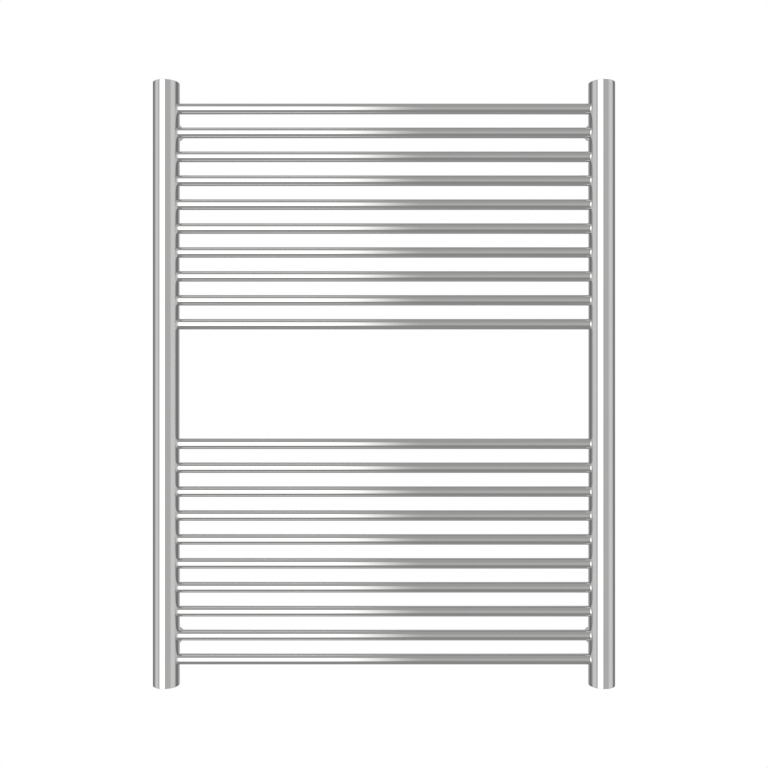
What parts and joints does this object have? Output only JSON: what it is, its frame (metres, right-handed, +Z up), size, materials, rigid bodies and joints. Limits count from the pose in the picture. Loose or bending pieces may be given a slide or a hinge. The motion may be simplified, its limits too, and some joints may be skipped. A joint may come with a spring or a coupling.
{
  "type": "towel warmer rack",
  "caption": "Wall-hung ladder towel warmer: round bars in two groups between two round collector tubes, on telescopic wall brackets.",
  "frame": {"origin": "on the wall plane, at the centre of the four wall brackets: midway between the collectors, at half the rack's height", "axes": "+X to the right as seen from the room, +Y into the wall, +Z up; the front faces -Y"},
  "size_m": [0.614, 0.0775, 0.8],
  "materials": {
    "chrome": "polished",
    "zinc_steel": "zinc plated",
    "rubber": "matt"
  },
  "bodies": {
    "wall_side": {"wall_cup_top_left": "chrome", "wall_cup_top_right": "chrome", "wall_cup_bottom_left": "chrome", "wall_cup_bottom_right": "chrome"},
    "radiator": {"collector_left": "chrome", "collector_right": "chrome", "bar_01": "chrome", "bar_02": "chrome", "bar_03": "chrome", "bar_04": "chrome", "bar_05": "chrome", "bar_06": "chrome", "bar_07": "chrome", "bar_08": "chrome", "bar_09": "chrome", "bar_10": "chrome", "bar_11": "chrome", "bar_12": "chrome", "bar_13": "chrome", "bar_14": "chrome", "bar_15": "chrome", "bar_16": "chrome", "bar_17": "chrome", "bar_18": "chrome", "bar_19": "chrome", "bar_20": "chrome", "end_piece_top_left": "chrome", "end_piece_top_right": "chrome", "end_piece_bottom_left": "chrome", "end_piece_bottom_right": "chrome", "blanking_plug": "chrome", "air_vent_body": "chrome", "post_top_left": "chrome", "post_top_right": "chrome", "post_bottom_left": "chrome", "post_bottom_right": "chrome", "boss_top_left": "zinc_steel", "boss_top_right": "zinc_steel", "boss_bottom_left": "zinc_steel", "boss_bottom_right": "zinc_steel", "clamp_screw_top_left": "zinc_steel", "clamp_screw_top_right": "zinc_steel", "clamp_screw_bottom_left": "zinc_steel", "clamp_screw_bottom_right": "zinc_steel", "seal_left": "rubber", "seal_right": "rubber"},
    "vent_screw": {"vent_screw": "chrome"},
    "set_screw_top_left": {"set_screw_top_left": "zinc_steel"},
    "set_screw_top_right": {"set_screw_top_right": "zinc_steel"},
    "set_screw_bottom_left": {"set_screw_bottom_left": "zinc_steel"},
    "set_screw_bottom_right": {"set_screw_bottom_right": "zinc_steel"}
  },
  "joints": [
    {"name": "depth_adjustment", "type": "slide", "parent": "wall_side", "child": "radiator", "axis": [0, 1, 0], "range_m": [-0.006, 0.006]},
    {"name": "vent_screw_turn", "type": "hinge", "parent": "radiator", "child": "vent_screw", "pos_m": [0.2895, -0.06, 0.4], "axis": [0, 0, 1], "range_deg": [0, 180]},
    {"name": "set_screw_top_left_turn", "type": "hinge", "parent": "wall_side", "child": "set_screw_top_left", "pos_m": [-0.2895, -0.024, 0.34106], "axis": [0, 0, -1], "range_deg": [0, 360]},
    {"name": "set_screw_top_right_turn", "type": "hinge", "parent": "wall_side", "child": "set_screw_top_right", "pos_m": [0.2895, -0.024, 0.34106], "axis": [0, 0, -1], "range_deg": [0, 360]},
    {"name": "set_screw_bottom_left_turn", "type": "hinge", "parent": "wall_side", "child": "set_screw_bottom_left", "pos_m": [-0.2895, -0.024, -0.35766], "axis": [0, 0, -1], "range_deg": [0, 360]},
    {"name": "set_screw_bottom_right_turn", "type": "hinge", "parent": "wall_side", "child": "set_screw_bottom_right", "pos_m": [0.2895, -0.024, -0.35766], "axis": [0, 0, -1], "range_deg": [0, 360]}
  ]
}
